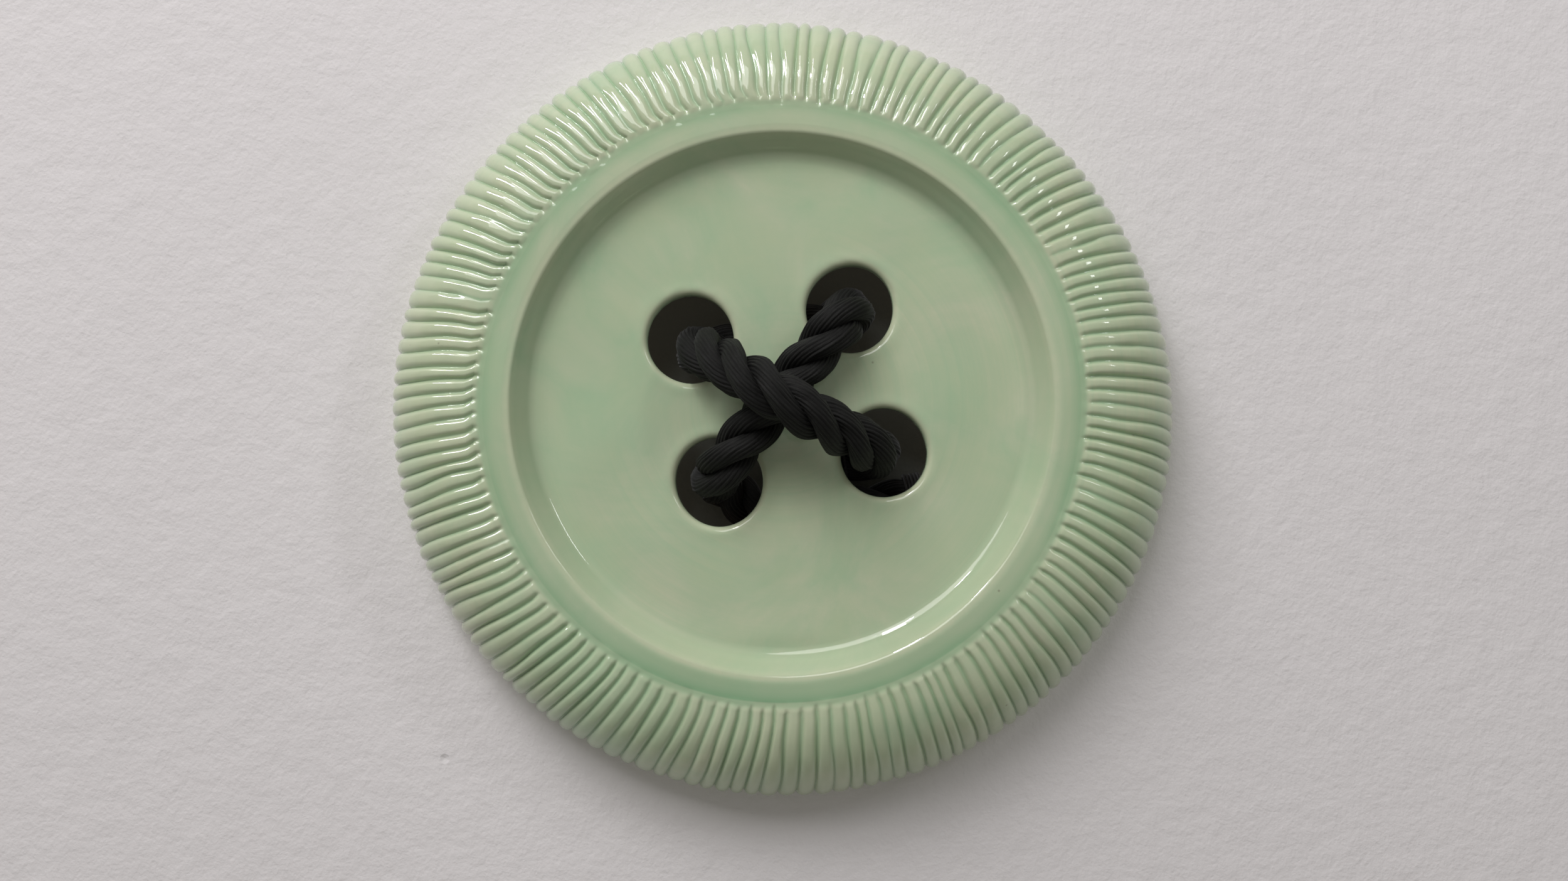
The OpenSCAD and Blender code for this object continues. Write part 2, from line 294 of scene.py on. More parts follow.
def wall_material():
    """Painted plaster with painted shade where the disc covers it, clear from behind so that the back of the
    button can be seen.
    """
    n = Nodes("wall_paint")
    place = n.place()
    patches = n.ranged(n.noise(place, 3.0, 3), 0.3, 0.7)
    paint = n.mix(patches, (0.705, 0.685, 0.70), (0.745, 0.725, 0.74))
    painted_shade = n.ranged(n.length(place), *PAINTED_SHADE_EDGE, 1, 0)
    # painted shade: the wall's colour turns dark inside the disc's outline, where light comes only through
    # the holes
    n.set(Base_Color=n.mix(painted_shade, paint, PAINTED_WALL_SHADE), Roughness=0.85)
    stipple = n.bump(n.noise(place, 420, 3, 0.6), 0.0003, 0.8)
    pits = n.add("ShaderNodeTexVoronoi", feature="F1")
    n.link(place, pits.inputs["Vector"])
    pits.inputs["Scale"].default_value = 11
    dents = n.ranged(pits.outputs["Distance"], 0.012, 0.03)
    stipple = n.bump(dents, 0.0012, 0.7, stipple)
    n.set(Normal=n.bump(n.noise(place, 75, 5, 0.62), 0.0017, 0.6, stipple))
    clear = n.add("ShaderNodeBsdfTransparent")
    chosen = n.add("ShaderNodeMixShader")
    n.link(n.add("ShaderNodeNewGeometry").outputs["Backfacing"], chosen.inputs["Fac"])
    n.link(n.shader.outputs["BSDF"], chosen.inputs[1])
    n.link(clear.outputs["BSDF"], chosen.inputs[2])
    n.link(chosen.outputs["Shader"], n.output.inputs["Surface"])
    return n.material


WALL_HALF = 2.5
WALL_GAP = 0.0003  # between the foot ring and the wall, so that their faces don't fight


def add_wall():
    """A flat wall behind the disc, which casts no shadow on what is behind it."""
    mesh = bpy.data.meshes.new("wall")
    far = WALL_HALF
    corners = [(-far, -far), (far, -far), (far, far), (-far, far)]
    mesh.from_pydata([(x, WALL_GAP, z) for x, z in corners], [], [(0, 1, 2, 3)])
    wall = bpy.data.objects.new("wall", mesh)
    bpy.context.collection.objects.link(wall)
    mesh.materials.append(wall_material())
    wall.visible_shadow = False


# --- Mesh building ---
class Shell:
    """A mesh made of rings of points, with named numbers ("marks") at each point."""

    def __init__(self, *marks):
        self.points, self.faces = [], []
        self.marks = {name: [] for name in marks}
        self.count = 0

    def add(self, points, **marks):
        """Adds points and returns their numbers."""
        points = np.asarray(points, float)
        self.points.append(points)
        for name, values in self.marks.items():
            values.append(np.broadcast_to(np.asarray(marks.get(name, 0.0), float), len(points)))
        self.count += len(points)
        return np.arange(self.count - len(points), self.count)

    def bridge(self, a, b):
        """Joins two rings. The longer one may have a whole multiple of the other's points."""
        if len(a) < len(b):
            a, b = b, a
        many = len(a) // len(b)
        if many == 1:
            self.faces.append(np.stack([a, np.roll(a, -1), np.roll(b, -1), b], axis=1))
            return
        blocks, following = a.reshape(len(b), many), np.roll(b, -1)
        ends = np.roll(blocks[:, 0], -1)
        half = many // 2
        for k in range(many):
            after = blocks[:, k + 1] if k + 1 < many else ends
            self.faces.append(np.stack([blocks[:, k], after, b if k < half else following], axis=1))
        self.faces.append(np.stack([blocks[:, half], following, b], axis=1))

    def follow(self, ring, points, **marks):
        """Adds a ring of points, joins it to the ring before and returns it."""
        following = self.add(points, **marks)
        self.bridge(ring, following)
        return following

    def cap(self, ring, middle, **marks):
        centre = self.add([middle], **marks)[0]
        self.faces.append(np.stack([ring, np.roll(ring, -1), np.full(len(ring), centre)], axis=1))

    def build(self, name, material, body):
        mesh = bpy.data.meshes.new(name)
        faces = [face for block in self.faces for face in block.tolist()]
        mesh.from_pydata(world(np.concatenate(self.points)).tolist(), [], faces)
        for mark, values in self.marks.items():
            layer = mesh.attributes.new(mark, "FLOAT", "POINT")
            layer.data.foreach_set("value", np.concatenate(values).astype(np.float32))
        turned = bmesh.new()
        turned.from_mesh(mesh)
        bmesh.ops.recalc_face_normals(turned, faces=turned.faces)
        turned.to_mesh(mesh)
        turned.free()
        mesh.shade_smooth()
        mesh.materials.append(material)
        piece = bpy.data.objects.new(name, mesh)
        bpy.context.collection.objects.link(piece)
        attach(piece, body)
        return piece


# --- The glazed disc ---
GROOVES = 152
# Places from one groove to the next, closest together beside the groove
ACROSS = np.array([0, 0.035, 0.08, 0.145, 0.235, 0.355, 0.5, 0.645, 0.765, 0.855, 0.92, 0.965])
LAND = -0.1  # height of the lands between the grooves, over the true rim
RIDGE_RISE = 0.15  # the last of their rise over the band
GROOVE_DEPTH = 1.35
FLAT_RUN = 1.5  # the ring is flat for this far out from the grooves' inner end, and round from there
GLAZE_RUN = 65.0  # how far out the grooves run, along the section, before they fade
ARC_ROWS, EDGE_ROWS = 22, 5  # rows over the rim, and round the back edge

# Lean of the grooves round the disc: (clockwise degrees, degrees of turn from inner to outer end)
LEAN = [
    (0, 1.6), (20, 2.0), (45, 2.3), (65, 1.3), (80, 1.7), (100, 2.7), (130, 3.3), (150, 2.0), (165, 0.1),
    (180, -0.9), (205, -1.2), (230, -1.5), (250, -0.9), (262, -0.1), (280, 0.6), (300, 1.8), (330, 2.2),
    (360, 1.6),
]
# How far the rim stands out beyond a true circle: (clockwise degrees, millimetres)
OUT_OF_ROUND = [
    (0, 1.6), (15, 1.7), (30, 1.5), (45, 0.9), (60, 0.1), (75, -0.7), (90, -1.1), (105, -1.1), (120, -0.9),
    (150, -0.1), (180, 0.7), (205, 0.5), (225, 0.2), (250, 0.6), (270, 0.7), (285, -0.2), (300, -1.1),
    (315, -1.3), (330, -0.5), (345, 0.8), (360, 1.6),
]


class Rim:
    """The hand-cut grooves: where each one runs and how deep it is."""

    def __init__(self, seed=7):
        rng = np.random.default_rng(seed)
        steps = 1 + 0.065 * rng.normal(size=GROOVES) + 0.055 * ripples(np.arange(GROOVES)[:, None], 9, seed)
        steps = np.clip(steps, 0.66, 1.36)
        self.angle = np.concatenate([[0], np.cumsum(steps)[:-1]]) * 360 / steps.sum()
        self.lean = np.interp(self.angle, *zip(*LEAN)) + 0.17 * rng.normal(size=GROOVES)
        self.curl = 0.25 + 0.3 * rng.normal(size=GROOVES)
        self.start = 0.5 * rng.normal(size=GROOVES)
        self.depth = np.clip(1 + 0.14 * rng.normal(size=GROOVES), 0.6, 1.3)
        self.faded = np.where(rng.random(GROOVES) < 0.06, rng.uniform(0.2, 0.55, GROOVES), 1.0)
        self.fade_from = rng.uniform(0.2, 0.8, GROOVES)
        self.height = 0.1 * rng.normal(size=GROOVES) + 0.25 * (np.roll(steps, -1) - 1)

    def between(self, values, shape):
        """Values at the grooves, spread over the places between them by a shape from 0 to 1."""
        return (values[:, None] * (1 - shape) + np.roll(values, -1)[:, None] * shape).ravel()

    def angles(self, along):
        """Angle of every place at a fraction of the grooves' run."""
        sway = 0.45 * math.sin(2 * math.pi * along) * self.curl
        hook = 0.5 * math.exp(-((along / 0.07) ** 2))
        at = self.angle + self.lean * smooth(-0.1, 1.1, along) + sway + hook * (1 - np.sign(self.lean) * 0.6)
        following = np.roll(at, -1)
        following[-1] += 360
        return (at[:, None] * (1 - ACROSS) + following[:, None] * ACROSS).ravel()

    def relief(self, run, along):
        """Height over the base, and how deep in a groove, at a distance from the grooves' inner end."""
        beside = np.minimum(ACROSS, 1 - ACROSS)
        flute, rib = smooth(0, 0.31, beside), (1 - (1 - 2 * beside) ** 2.3) ** 0.7
        ribbed = smooth(0.2, 0.85, along)  # round-bottomed flutes at the inner end, round ribs further out
        ridge = flute * (1 - ribbed) + rib * ribbed
        ridge = np.tile(ridge, GROOVES)
        blend = smooth(0, 1, ACROSS)
        start = self.between(self.start, blend)
        if along < 0.5:
            faded = np.where(along > self.fade_from, 1.0, self.faded)
        else:
            faded = self.faded ** (1 - along)
        depth = GROOVE_DEPTH * (0.9 + 0.45 * along) * self.between(self.depth * faded, np.round(ACROSS))
        corner = np.tile(np.abs(2 * ACROSS - 1) ** 2, GROOVES)
        up = smooth(-1.3, 0.9, run - start - 1.1 * corner)
        cut = smooth(-1.5, 2.3, run - start)
        height = up * (RIDGE_RISE + np.repeat(self.height, len(ACROSS)) * ridge) - depth * (1 - ridge) * cut
        return height, (1 - ridge) * cut


def disc_place(radius, angle, out):
    """A point from its radius, clockwise angle in degrees and distance from the wall."""
    turn = np.radians(angle)
    radius = np.broadcast_to(radius, turn.shape)
    return np.stack([radius * np.cos(turn), -radius * np.sin(turn), np.broadcast_to(out, turn.shape)], axis=1)


def hand_made(points):
    """Slow unevenness of a thrown and hand-finished disc."""
    points = points.copy()
    radius = np.hypot(points[:, 0], points[:, 1])
    turn = np.arctan2(points[:, 1], points[:, 0])
    clockwise = -np.degrees(turn) % 360
    swell = np.interp(clockwise, *zip(*OUT_OF_ROUND))
    grow = 1 + swell * smooth(112, DISC_R, radius) / DISC_R
    points[:, :2] *= grow[:, None]
    points[:, 2] += 0.22 * ripples(points[:, :2], 70, 3) * smooth(0, 20, points[:, 2])
    return points


def on_arc(middle, radius, turn):
    """(radius, out) at an angle, in degrees, round a middle."""
    turn = math.radians(turn)
    return middle[0] + radius * math.cos(turn), middle[1] + radius * math.sin(turn)


def section_rows():
    """Rows outwards over the grooved ring: (radius, out, normal across, normal out, run, along)."""
    rows = []
    for run in (-2.6, -1.9, -1.3, -0.8, -0.3, 0.2, 0.7, 1.2):
        rows.append((RING_R + run, RIM_H, 0.0, 1.0, run, 0.0))
    for i in range(ARC_ROWS + 1):
        turn = math.radians(90 * (1 - i / ARC_ROWS))
        c, s = math.cos(turn), math.sin(turn)
        run = FLAT_RUN + RIM_ROUND * (math.pi / 2 - turn)
        along = (c * RIM_ROUND + FLAT_RUN) / (DISC_R - RING_R)
        rows.append((RIM_MIDDLE[0] + RIM_ROUND * c, RIM_MIDDLE[1] + RIM_ROUND * s, c, s, run, along))
    for i in range(1, EDGE_ROWS + 1):
        turn = -90 * i / EDGE_ROWS
        place = on_arc((DISC_R - BACK_EDGE_R, BACK_EDGE_R), BACK_EDGE_R, turn)
        c, s = on_arc((0, 0), 1, turn)
        rows.append((*place, c, s, GLAZE_RUN + 7 * i / EDGE_ROWS, 1.0))
    return rows


BAND_LOW = RIM_H - 0.5  # the band just inside the grooves


def band_out(radius):
    """Height of the smooth band between the grooves and the crest."""
    return BAND_LOW + 0.1 * smooth(116, 109, radius) - 0.08 * bump(116.4, 1.8, radius)


def add_grooves(shell, rim):
    """The rings of the grooved rim, from the band out to the foot. Returns the first and the last."""
    rings = []
    for radius, out, across, outward, run, along in section_rows():
        height, groove = rim.relief(run, along)
        fade = 1 - smooth(GLAZE_RUN - 3, GLAZE_RUN + 6, run)
        lift = height * fade
        if run < FLAT_RUN:
            low = band_out(radius)
            out = low + (RIM_H - RIDGE_RISE + LAND - low) * smooth(-1.6, 1.2, run)
        else:
            lift = lift + (LAND - RIDGE_RISE) * fade
        points = hand_made(disc_place(radius + lift * across, rim.angles(along), out + lift * outward))
        points[:, 2] += 0.06 * ripples(points, 7, 21) * outward
        edge = smooth(GLAZE_RUN - 6, GLAZE_RUN - 1, run) * (1 - smooth(GLAZE_RUN + 1, GLAZE_RUN + 4, run))
        tops = 0.3 * (1 - groove) * smooth(-1.5, 1, run)
        rings.append(shell.add(
            points,
            pool=np.clip(0.62 * groove ** 1.5 * fade + 0.52 * smooth(0.3, -1.8, run) * (1 - groove), 0, 1),
            thin=np.clip(tops + 0.75 * edge * (1 - groove), 0, 1),
            bare=smooth(GLAZE_RUN + 4.2, GLAZE_RUN + 5.4, run),
        ))
    for a, b in zip(rings, rings[1:]):
        shell.bridge(a, b)
    return rings[0], rings[-1]


def add_dish(shell, ring, angle):
    """Inwards from the grooves: band, crest, wall and floor edge, with fewer points as it goes."""
    for radius, fewer in ((115.8, 2), (114.8, 1), (113.4, 1), (112.0, 2), (110.6, 1), (109.4, 1), (108.6, 1)):
        angle = angle[::fewer]
        points = hand_made(disc_place(radius, angle, band_out(radius)))
        # the last term makes the band darker green towards the bottom of the disc, round 95 degrees
        # clockwise, through the same mark as the pooled glaze
        pool = 0.55 * bump(116.0, 2.6, radius) + 0.12 + 0.5 * bump(95, 45, angle % 360)
        ring = shell.follow(ring, points, pool=pool, thin=0.2 * smooth(110.6, 108.2, radius))
    for turn in (88, 104, 120, 136, 148):
        radius, out = on_arc((CREST_R, CREST_H - CREST_ROUND), CREST_ROUND, turn)
        points = hand_made(disc_place(radius, angle, out))
        ring = shell.follow(ring, points, thin=0.5 if turn < 125 else 0.3)
    for radius, out in ((104.2, 40.1), (102.8, 38.4), (101.2, 36.4)):
        ring = shell.follow(ring, hand_made(disc_place(radius, angle, out)), pool=0.12, thin=0.1)
    for turn in (-38, -48, -58, -68, -79, -90):
        radius, out = on_arc((FLOOR_EDGE_R, FLOOR_H + FILLET), FILLET, turn)
        ring = shell.follow(ring, hand_made(disc_place(radius, angle, out)), pool=0.1)
    return ring


def add_underside(shell, ring, angle):
    """From the back edge to the back of the floor: the foot and the hollow, with trimming rings."""
    for radius, out, fewer in ((FOOT_R + 4, 0.0, 2), (FOOT_R, 0.3, 1), (149.4, 6, 1), (*HOLLOW[0], 2)):
        angle = angle[::fewer]
        ring = shell.follow(ring, hand_made(disc_place(radius, angle, out)), bare=1.0)
    for (r0, out0), (r1, out1) in zip(HOLLOW, HOLLOW[1:]):
        for part in (0.34, 0.67, 1.0):
            radius = r0 + (r1 - r0) * part
            points = hand_made(disc_place(radius, angle, out0 + (out1 - out0) * part))
            points[:, 2] += 0.25 * math.sin(1.9 * radius)
            ring = shell.follow(ring, points, bare=1.0)
    return shell.follow(ring, disc_place(BACK_FLOOR_R, angle, FLOOR_H - FLOOR_T), bare=1.0)


def build_disc(material):
    """The whole fired piece, glazed in front and bare behind."""
    shell = Shell("pool", "thin", "bare")
    rim = Rim()
    inner, outer = add_grooves(shell, rim)
    front_edge = add_dish(shell, inner, rim.angles(0.0))
    back_edge = add_underside(shell, outer, rim.angles(1.0))
    add_floor(shell, front_edge, back_edge)
    piece = shell.build("button_disc", material, BUTTON)
    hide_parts("glazed_disc")
    return piece


HOLE_POINTS = 76
CUFF_R = 24.0  # radius round each hole that is made of rings
WOBBLE_R = 22.0  # radius up to which the hole is a little out of true
RELIEF_LOW = 31.5  # height down to which a hole's lip follows the floor's unevenness


def floor_out(points):
    """Height of the floor of the dish: faint throwing rings, slow swells and a lip round each hole."""
    radius = np.hypot(points[:, 0], points[:, 1])
    rings = 0.05 * np.sin(radius * 1.35 + 1.5 * ripples(points, 60, 5)) * smooth(8, 30, radius)
    swell = 0.18 * ripples(points, 55, 11) * (1 - smooth(85, 97, radius))
    lips = sum(0.28 * bump(HOLE_R + 3.2, 2.2, np.hypot(points[:, 0] - x, points[:, 1] - y)) for x, y in HOLES)
    return FLOOR_H + rings + swell + lips


def add_floor(shell, front_edge, back_edge):
    """The floor's two faces with the four holes through them."""
    turn = np.linspace(0, 2 * math.pi, HOLE_POINTS, endpoint=False)
    circle = np.stack([np.cos(turn), np.sin(turn)], axis=1)
    front_cuffs, back_cuffs = [], []
    for number, (x, y) in enumerate(HOLES):
        rng = np.random.default_rng(40 + number)
        second, third = rng.uniform(0, 6), rng.uniform(0, 6)
        wobble = 1 + 0.012 * np.sin(2 * turn + second) + 0.008 * np.sin(3 * turn + third)

        def hole_ring(radius, out, **marks):
            reach = radius * wobble if radius < WOBBLE_R else np.full(HOLE_POINTS, radius)
            flat = np.array([x, y]) + circle * reach[:, None]
            height = floor_out(flat) - FLOOR_H + out if out > RELIEF_LOW else np.full(HOLE_POINTS, out)
            return shell.add(np.column_stack([flat, height]), **marks)

        rings = [hole_ring(r, FLOOR_H) for r in (CUFF_R, 22.6, 21.4, 20.6)]
        for t in (90, 108, 126, 144, 162, 180):
            lip = on_arc((HOLE_R + LIP_R, FLOOR_H - LIP_R), LIP_R, t)
            rings.append(hole_ring(*lip, thin=0.75 * bump(130, 30, t)))
        rings += [hole_ring(HOLE_R, out, pool=0.35) for out in (29.6, 28.4, 27.2)]
        for t in (180, 210, 240, 270):
            lip = on_arc((HOLE_R + LIP_R, FLOOR_H - FLOOR_T + LIP_R), LIP_R, t)
            rings.append(hole_ring(*lip, bare=1.0))
        rings.append(hole_ring(CUFF_R, FLOOR_H - FLOOR_T, bare=1.0))
        for a, b in zip(rings, rings[1:]):
            shell.bridge(a, b)
        front_cuffs.append(rings[0])
        back_cuffs.append(rings[-1])
    fill_face(shell, front_edge, front_cuffs, floor_out, spacing=2.6)
    fill_face(shell, back_edge, back_cuffs, back_out, spacing=5.0, bare=1.0)


def back_out(points):
    """Height of the back of the floor, with trimming rings."""
    radius = np.hypot(points[:, 0], points[:, 1])
    return FLOOR_H - FLOOR_T + 0.12 * np.sin(radius * 1.1) * (1 - smooth(88, 98, radius))


def fill_face(shell, edge, cuffs, height, spacing, **marks):
    """Fills the flat area between the edge ring and the holes' rings with triangles."""
    all_points = np.concatenate(shell.points)
    edge_radius = np.hypot(*all_points[edge][:, :2].T).min()
    span = np.arange(-edge_radius, edge_radius, spacing)
    rng = np.random.default_rng(5)
    grid = np.array([(x + (j % 2) * spacing / 2, y * 0.87) for j, y in enumerate(span * 1.15) for x in span])
    grid += rng.uniform(-0.12, 0.12, grid.shape) * spacing
    keep = np.hypot(*grid.T) < edge_radius - 0.6 * spacing
    for x, y in HOLES:
        keep &= np.hypot(grid[:, 0] - x, grid[:, 1] - y) > CUFF_R + 0.6 * spacing
    grid = grid[keep]
    inside = shell.add(np.column_stack([grid, height(grid)]), **marks)
    numbers = np.concatenate([edge, *cuffs, inside])
    flat = np.concatenate([all_points[edge][:, :2], *(all_points[c][:, :2] for c in cuffs), grid])
    edges, start = [], 0
    for ring in (edge, *cuffs):
        size = len(ring)
        edges += [(start + i, start + (i + 1) % size) for i in range(size)]
        start += size
    found = geometry.delaunay_2d_cdt([Vector(p) for p in flat.tolist()], edges, [], 0, 1e-5)
    places = np.array([tuple(v) for v in found[0]])
    source = [old[0] for old in found[3]]
    triangles = np.array(found[2])
    middle = places[triangles].mean(axis=1)
    keep = np.hypot(*middle.T) < np.hypot(*flat[: len(edge)].T).max()
    for x, y in HOLES:
        keep &= np.hypot(middle[:, 0] - x, middle[:, 1] - y) > CUFF_R * math.cos(math.pi / HOLE_POINTS) - 0.01
    shell.faces.append(numbers[np.array(source)[triangles[keep]]])


POOL_COLOUR = (0.25, 0.42, 0.25)
GLAZE_COLOUR = (0.45, 0.535, 0.355)
GLAZE_BLUE = (0.35, 0.505, 0.33)
GLAZE_YELLOW = (0.55, 0.575, 0.425)
THIN_COLOUR = (0.57, 0.60, 0.43)
CLAY_COLOUR = (0.60, 0.50, 0.39)
CLAY_DARK = (0.46, 0.36, 0.26)


def glaze_material():
    """Celadon glaze: green where it pools, pale where it breaks over edges, and bare clay behind."""
    n = Nodes("celadon_glaze")
    place = n.place()
    cloud = n.ranged(n.noise(place, 17, 5, 0.62, 1.0), 0.34, 0.66)
    haze = n.ranged(n.noise(place, 33, 4, 0.6), 0.35, 0.7)
    fine = n.noise(place, 240, 3, 0.6)
    body = n.mix(cloud, GLAZE_BLUE, GLAZE_YELLOW)
    body = n.mix(n.ranged(haze, 0, 1, 0.2, 0.85), body, GLAZE_COLOUR)
    thrown = n.ranged(n.noise(n.length(n.scaled(place, 1, 0, 1)), 190, 3, 0.65), 0.42, 0.66)
    thrown = n.math("MULTIPLY", thrown, n.ranged(n.noise(place, 9, 2), 0.42, 0.62, 0.05, 0.4))
    body = n.mix(thrown, body, GLAZE_BLUE)
    pool = n.math("MULTIPLY", n.mark("pool"), n.ranged(n.noise(place, 22, 2), 0.25, 0.7, 0.55, 1.1))
    body = n.mix(pool, body, POOL_COLOUR)
    thin = n.math("MULTIPLY", n.mark("thin"), n.ranged(fine, 0.3, 0.7, 0.55, 1.0))
    body = n.mix(thin, body, THIN_COLOUR)
    speck = n.add("ShaderNodeTexVoronoi", feature="F1")
    n.link(place, speck.inputs["Vector"])
    speck.inputs["Scale"].default_value = 95
    dots = n.ranged(speck.outputs["Distance"], 0.035, 0.06, 1, 0)
    chosen = n.ranged(n.noise(place, 30, 0), 0.62, 0.66)
    dots = n.math("MULTIPLY", dots, chosen)
    body = n.mix(n.math("MULTIPLY", dots, 0.55), body, (0.16, 0.15, 0.1))
    clay = n.mix(n.ranged(n.noise(place, 160, 4, 0.7), 0.35, 0.7), CLAY_DARK, CLAY_COLOUR)
    clay = n.mix(n.ranged(n.noise(place, 12, 3), 0.4, 0.65, 0, 0.5), clay, (0.56, 0.49, 0.40))
    ragged = n.ranged(n.noise(place, 60, 2), 0, 1, -0.25, 0.25)
    bare = n.ranged(n.math("ADD", n.mark("bare"), ragged), 0.42, 0.58)
    n.set(Base_Color=n.mix(bare, body, clay))
    n.set(Roughness=n.math("MAXIMUM", n.ranged(bare, 0, 1, 0.04, 0.82), n.math("MULTIPLY", dots, 0.6)))
    peel = n.bump(n.noise(place, 260, 2, 0.4), 0.00006, 0.5)
    waves = n.bump(n.noise(place, 60, 2, 0.4), 0.0003, 0.4, peel)
    grain = n.math("MULTIPLY", n.noise(place, 900, 3, 0.6), bare)
    n.set(Normal=n.bump(grain, 0.0004, 0.8, waves))
    return n.material


# --- Rope and other wound things ---
def spline(points, spacing):
    """A Catmull-Rom curve through points, at about even spacing, and the distance along it."""
    p = np.array(points, float)
    p = np.vstack([p[0], p, p[-1]])
    fine = []
    for a, b, c, d in zip(p, p[1:], p[2:], p[3:]):
        f = np.linspace(0, 1, 24, endpoint=False)[:, None]
        fine.append(0.5 * (2 * b + f * (c - a) + f ** 2 * (2 * a - 5 * b + 4 * c - d)
                           + f ** 3 * (3 * (b - c) + d - a)))
    fine = np.vstack([*fine, p[-1:]])
    at = np.concatenate([[0], np.cumsum(np.linalg.norm(np.diff(fine, axis=0), axis=1))])
    even = np.linspace(0, at[-1], max(2, int(round(at[-1] / spacing)) + 1))
    return np.stack([np.interp(even, at, fine[:, i]) for i in range(3)], axis=1), even


def carried_sides(points, first):
    """Tangents and two side directions at each point, carried along without twist."""
    tangent = np.gradient(points, axis=0)
    tangent /= np.linalg.norm(tangent, axis=1)[:, None]
    side = np.array(first, float)
    sides = []
    for t in tangent:
        side = side - (side @ t) * t
        side /= np.linalg.norm(side)
        sides.append(side)
    sides = np.array(sides)
    return tangent, sides, np.cross(tangent, sides)


def sweep(shell, points, radii, turns, first=(0, 0, 1), **marks):
    """A closed tube: radii has a row for each point and a column for each side; turns twists it."""
    tangent, u, v = carried_sides(points, first)
    sides = radii.shape[1]
    base = np.linspace(0, 2 * math.pi, sides, endpoint=False)
    rings = []
    for i, middle in enumerate(points):
        turn = base + turns[i]
        offset = np.cos(turn)[:, None] * u[i] + np.sin(turn)[:, None] * v[i]
        here = {name: value[i] for name, value in marks.items()}
        rings.append(shell.add(middle + offset * radii[i][:, None], **here))
    for a, b in zip(rings, rings[1:]):
        shell.bridge(a, b)
    for ring, middle, t in ((rings[0], points[0], -tangent[0]), (rings[-1], points[-1], tangent[-1])):
        here = {name: float(np.mean(value[0])) for name, value in marks.items()}
        shell.cap(ring, middle + t * radii[0].mean() * 0.35, **here)


YARNS = 18
YARN_POINTS = 5
YARN_RISE = 0.42  # how far a yarn stands out of the strand
YARN_TWIST = -95.0  # millimetres of strand in which its yarns go round once, left-handed


def build_strand(number, material):
    """One of the rope's three strands, with its yarns laid the other way round."""
    middle, at = spline(ROUTE, 1.3)
    _, u, v = carried_sides(middle, (0, 0, 1))
    turn = 2 * math.pi * (at / LAY_PITCH + number / 3)
    out = np.cos(turn)[:, None] * u + np.sin(turn)[:, None] * v
    centre = middle + LAY_R * out
    length = np.concatenate([[0], np.cumsum(np.linalg.norm(np.diff(centre, axis=0), axis=1))])
    sides = YARNS * YARN_POINTS
    base = np.linspace(0, 2 * math.pi, sides, endpoint=False)
    rng = np.random.default_rng(60 + number)
    yarn_size = np.repeat(0.14 * rng.normal(size=YARNS), YARN_POINTS)
    across = np.abs(np.sin(YARNS * base / 2))
    twist = 2 * math.pi * length / YARN_TWIST
    wander = 0.05 * np.sin(length / 9 + rng.uniform(0, 6)) + 0.06 * np.sin(length / 23 + rng.uniform(0, 6))
    shape = STRAND_R - YARN_RISE + YARN_RISE * across[None, :] + yarn_size[None, :] * across[None, :]
    unrolled = np.stack([np.broadcast_to(np.cos(base), (len(at), sides)),
                         np.broadcast_to(np.sin(base), (len(at), sides)),
                         np.broadcast_to(length[:, None] / STRAND_R, (len(at), sides))], axis=-1)
    shape = shape + 0.1 * ripples(unrolled, 1.6, 80 + number) + wander[:, None]
    ends = smooth(4, 0, length) + smooth(length[-1] - 4, length[-1], length)
    shape = shape * (1 - 0.25 * ends)[:, None]
    shell = Shell("round_x", "round_y", "run", "yarn")
    sweep(shell, centre, shape, twist,
          round_x=unrolled[..., 0] * STRAND_R, round_y=unrolled[..., 1] * STRAND_R,
          run=unrolled[..., 2] * STRAND_R, yarn=np.broadcast_to(across, shape.shape))
    piece = shell.build(f"rope_strand_{number + 1}_yarns", material, BUTTON)
    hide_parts(f"rope_strand_{number + 1}")
    return piece


def fibre_material(name, dark, light, roughness, along_scale):
    """Twisted fibre: fine lines that run with the yarns, and painted shade that darkens the creases between
    them.
    """
    n = Nodes(name)
    unrolled = n.add("ShaderNodeCombineXYZ")
    for socket, mark in (("X", "round_x"), ("Y", "round_y"), ("Z", "run")):
        n.link(n.mark(mark), unrolled.inputs[socket])
    lines = n.noise(n.scaled(unrolled.outputs["Vector"], 2.3, 2.3, along_scale), 1.0, 4, 0.65)
    worn = n.noise(n.place(), 120, 3, 0.6)
    # painted shade: darker colour in the creases between the rope's yarns and between the twine's plies
    shade = n.math("MULTIPLY", n.ranged(lines, 0.3, 0.72), n.ranged(n.mark("yarn"), 0, 0.9, 0.08, 1.0))
    shade = n.math("MULTIPLY", shade, n.ranged(worn, 0.3, 0.7, 0.6, 1.0))
    n.set(Base_Color=n.mix(shade, dark, light), Roughness=roughness)
    n.set(Sheen_Weight=0.03, Sheen_Roughness=0.4, Specular_IOR_Level=0.24)
    n.set(Normal=n.bump(lines, 0.0005, 0.9))
    return n.material


PLY_RISE = 0.14  # how far a ply stands out, as a part of the tube's radius


def wound_tube(shell, points, radius, plies, twist, sides, spacing, first):
    """A tube of a few plies twisted together, along a hand-made path."""
    middle, at = spline(points, spacing)
    base = np.linspace(0, 2 * math.pi, sides, endpoint=False)
    ply = np.abs(np.sin(plies * base / 2))
    shape = radius * (1 - PLY_RISE + PLY_RISE * ply)
    shape = np.broadcast_to(shape, (len(at), sides)) * (1 + 0.03 * ripples(at[:, None], 5, 9)[:, None])
    around = np.ones((len(at), 1))
    sweep(shell, middle, shape, 2 * math.pi * at / twist, first,
          round_x=around * np.cos(base) * radius, round_y=around * np.sin(base) * radius,
          run=np.broadcast_to(at[:, None], shape.shape),
          yarn=np.broadcast_to(ply, shape.shape))


BIND_R = 9.75
LAP_LEAN = math.radians(9.2)
LAP_GAP = 21.4


